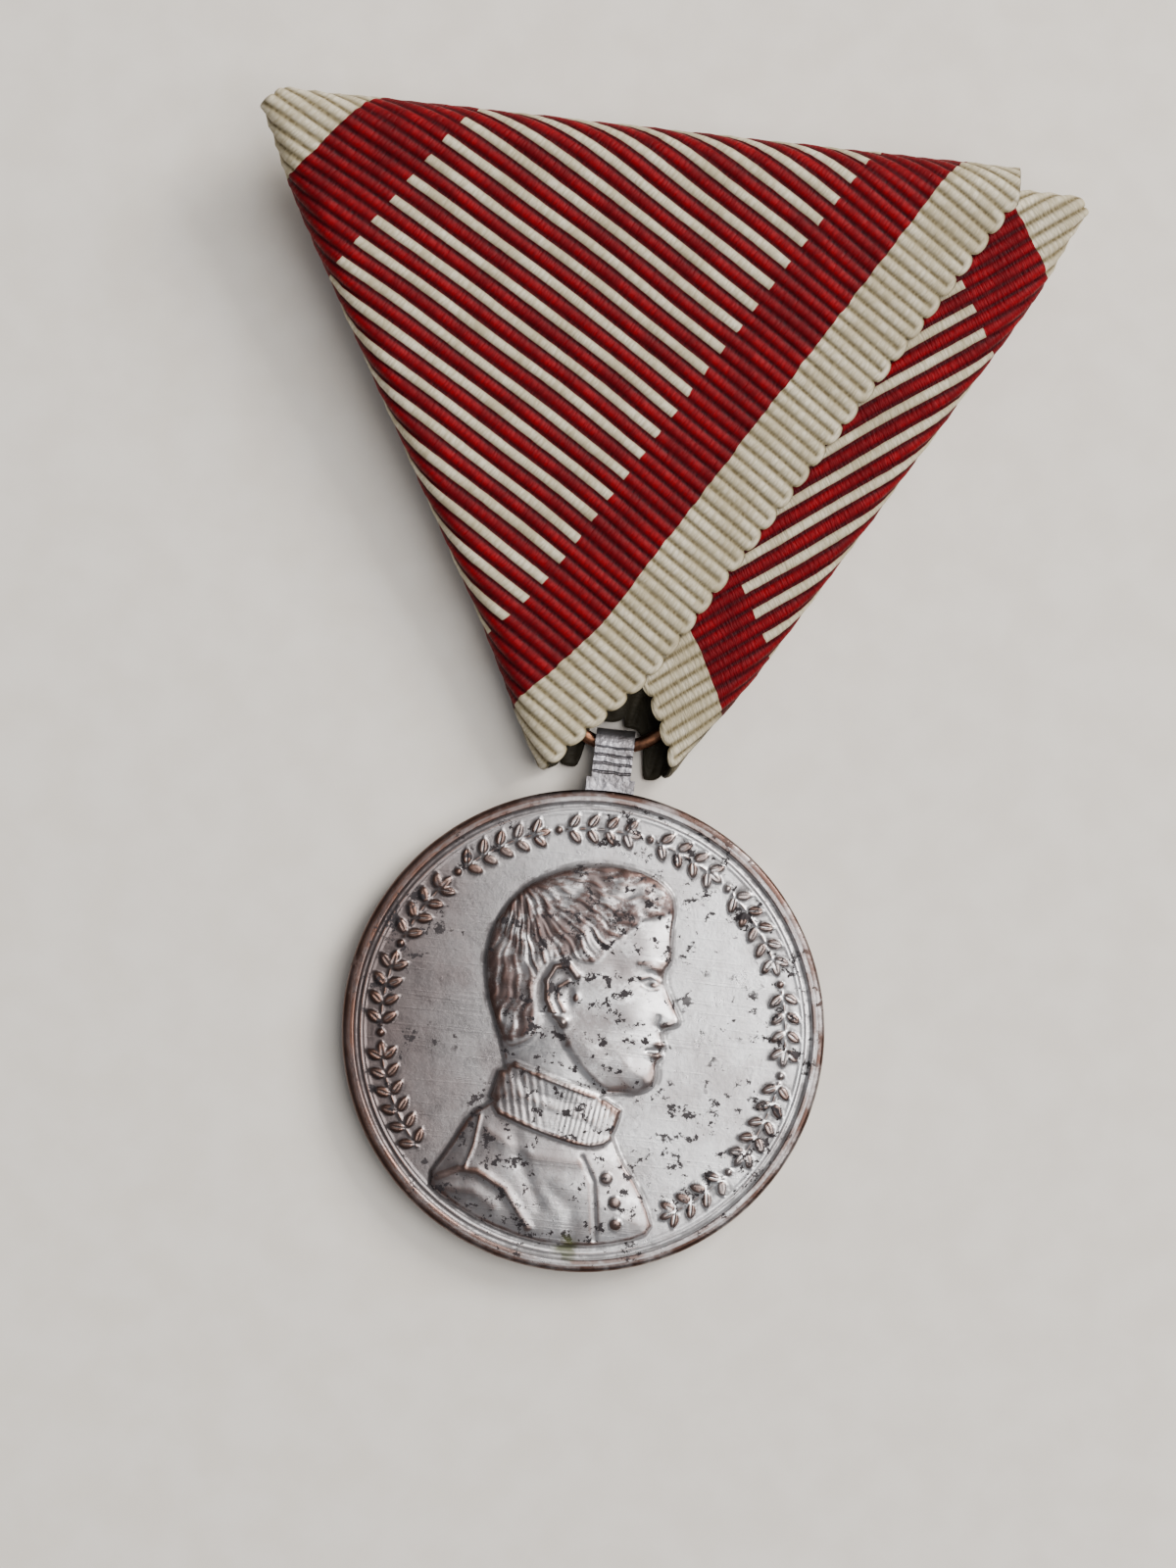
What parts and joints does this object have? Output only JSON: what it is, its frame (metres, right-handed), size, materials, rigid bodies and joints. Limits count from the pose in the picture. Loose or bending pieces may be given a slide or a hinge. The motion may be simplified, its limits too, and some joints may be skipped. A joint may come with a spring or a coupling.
{
  "type": "ribbon medal",
  "caption": "Round struck medal with a strap lug and ring, hung from a silk ribbon folded into a triangle, with a pin brooch and safety catch on the back.",
  "frame": {"origin": "bottom centre of the bounding box, on the surface that the medal lies on face up", "axes": "+X to the viewer's right, +Y from the disc to the top of the ribbon, +Z out of the front"},
  "size_m": [0.0538, 0.0732, 0.0086],
  "materials": {
    "ribbon_silk": "cross-ribbed silk, crimson with ivory ribs and edges",
    "stiffener_card": "plain buff card",
    "hanger_wire": "dull brass wire",
    "ring_copper": "brown copper alloy wire with worn plating",
    "worn_silver_plate": "struck copper alloy with worn and tarnished silver plating",
    "lug_metal": "filed and silver plated copper alloy",
    "brooch_metal": "nickel plated brass, dull",
    "pin_steel": "drawn spring steel",
    "sewing_thread": "waxed cotton thread"
  },
  "bodies": {
    "trifold": {"ribbon": "ribbon_silk", "stiffener_card": "stiffener_card", "ring_hanger": "hanger_wire", "pin_bar": "brooch_metal", "hinge_bracket": "brooch_metal", "hinge_rivet": "pin_steel", "catch_housing": "brooch_metal", "brooch_stitches": "sewing_thread", "hem_stitches": "sewing_thread"},
    "ring": {"jump_ring": "ring_copper"},
    "medal": {"medal_disc": "worn_silver_plate", "suspension_lug": "lug_metal"},
    "pin": {"pin_stem": "pin_steel"},
    "catch": {"catch_rotor": "brooch_metal"}
  },
  "joints": [
    {"name": "ring_swing", "type": "hinge", "parent": "trifold", "child": "ring", "pos_m": [0, 0.00523, 0.00275], "axis": [-1, 0, 0], "range_deg": [0, 5]},
    {"name": "medal_swing", "type": "hinge", "parent": "ring", "child": "medal", "pos_m": [0, -0.00274, 0.0013], "axis": [1, 0, 0], "range_deg": [-85, 95]},
    {"name": "pin_hinge", "type": "hinge", "parent": "trifold", "child": "pin", "pos_m": [-0.0176, 0.02991, 0.00115], "axis": [0, 0.993, 0.1179], "range_deg": [0, 75]},
    {"name": "catch_turn", "type": "hinge", "parent": "trifold", "child": "catch", "pos_m": [0.0164, 0.02991, 0.00115], "axis": [1, 0, 0], "range_deg": [0, 100]}
  ]
}
